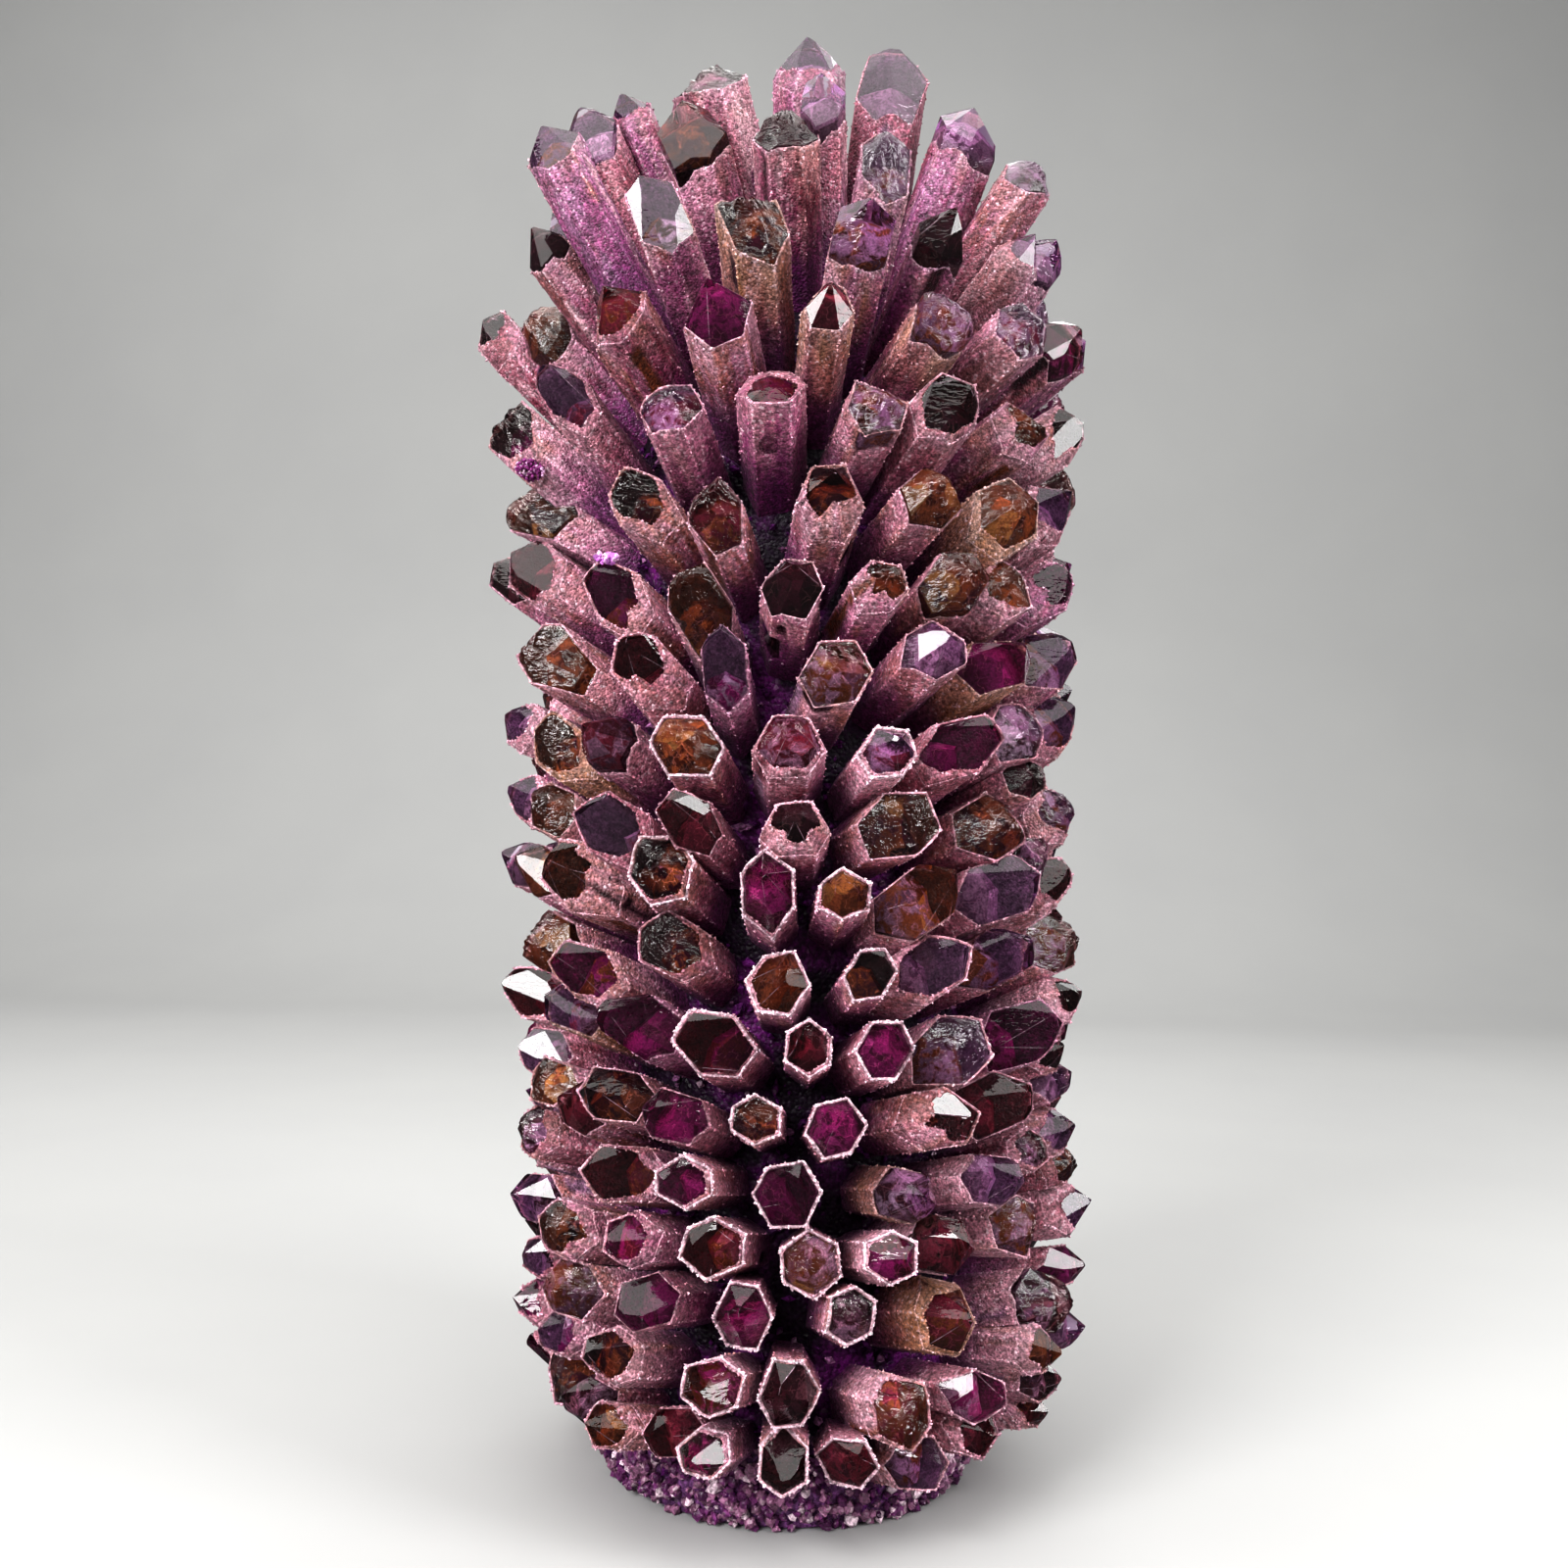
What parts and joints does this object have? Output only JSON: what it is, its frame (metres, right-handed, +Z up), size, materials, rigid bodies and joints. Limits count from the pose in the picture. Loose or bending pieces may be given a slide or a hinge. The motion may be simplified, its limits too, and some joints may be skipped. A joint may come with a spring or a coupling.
{
  "type": "phantom quartz cluster",
  "caption": "Free-standing column of intergrown hexagonal quartz points with a druzy coat and glassy purple, amber and smoky tips, on a flat crusted foot.",
  "frame": {"origin": "centre of the flat foot, on the plane that it rests on", "axes": "+Z up along the column's axis to the highest tips; -Y is the side with the measured layout, the front"},
  "size_m": [0.196, 0.1837, 0.4497],
  "materials": {
    "druzy_quartz": "sugary druzy coat, satin with fine sparkle, dusty pink to mauve with dark violet between the points",
    "clear_tip": "bare glassy terminations, see-through violet, maroon, amber and smoky quartz"
  },
  "bodies": {
    "root": {"quartz_cluster": "druzy_quartz"}
  },
  "joints": []
}
